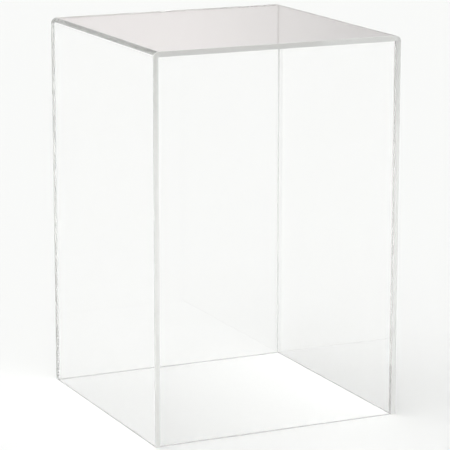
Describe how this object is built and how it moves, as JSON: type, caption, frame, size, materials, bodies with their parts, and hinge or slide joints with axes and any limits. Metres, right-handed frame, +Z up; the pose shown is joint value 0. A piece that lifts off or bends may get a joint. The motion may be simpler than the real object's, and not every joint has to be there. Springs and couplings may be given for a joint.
{
  "type": "display plinth",
  "caption": "Tall clear acrylic box, open underneath: a bent sheet forms two walls and the top, and cemented flat panels close front and back.",
  "frame": {"origin": "middle of the bottom rim's outline, on the surface that the plinth stands on", "axes": "+Z up, -Y towards the front panel, +X towards the right wall of the bent sheet"},
  "size_m": [0.3174, 0.3174, 0.4636],
  "materials": {
    "clear_acrylic": "polished, clear, colourless",
    "acrylic_cement": "glossy, clear, cured"
  },
  "bodies": {
    "root": {"bent_sheet": "clear_acrylic", "front_panel": "clear_acrylic", "back_panel": "clear_acrylic", "front_cement_seam": "acrylic_cement", "back_cement_seam": "acrylic_cement"}
  },
  "joints": []
}
